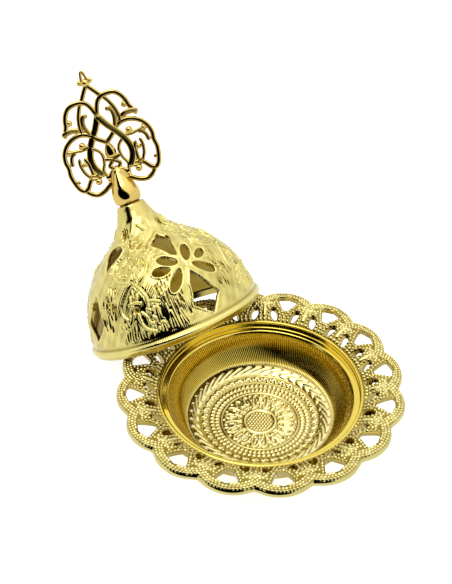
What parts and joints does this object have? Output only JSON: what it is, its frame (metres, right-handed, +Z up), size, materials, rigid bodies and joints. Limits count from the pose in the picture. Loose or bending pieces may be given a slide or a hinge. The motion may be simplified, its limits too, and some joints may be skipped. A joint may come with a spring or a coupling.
{
  "type": "incense burner with leaning domed lid",
  "caption": "Gilt incense burner: a bowl with an embossed floor in a lobed, pierced collar on a low foot, with a pierced onion-dome lid carrying an openwork crest.",
  "frame": {"origin": "on the table surface, under the centre of the bowl, in the middle of the felt's lower face", "axes": "+Z up along the bowl's axis, +X to the viewer's right, +Y away from the viewer; the lid leans towards -X +Y"},
  "size_m": [0.1646, 0.166, 0.135],
  "materials": {
    "collar_gilt": "bright pale gilt with a beaded top and a polished edge",
    "bowl_gilt": "polished deep yellow gilt, embossed floor and ribbed wall",
    "foot_gilt": "polished gilt",
    "lid_gilt": "bright pale gilt, finely hatched and embossed",
    "finial_gilt": "polished warm gilt",
    "screw_steel": "zinc plated",
    "felt": "dark green felt"
  },
  "bodies": {
    "base": {"collar": "collar_gilt", "bowl": "bowl_gilt", "foot": "foot_gilt", "base_felt": "felt"},
    "lid": {"lid_dome": "lid_gilt", "lid_screw": "screw_steel", "lid_washer": "screw_steel", "finial_knob": "finial_gilt", "finial_crest": "finial_gilt"}
  },
  "joints": [
    {"name": "lid_lift", "type": "slide", "parent": "base", "child": "lid", "axis": [0, 0, 1], "range_m": [0, 0.12]}
  ]
}
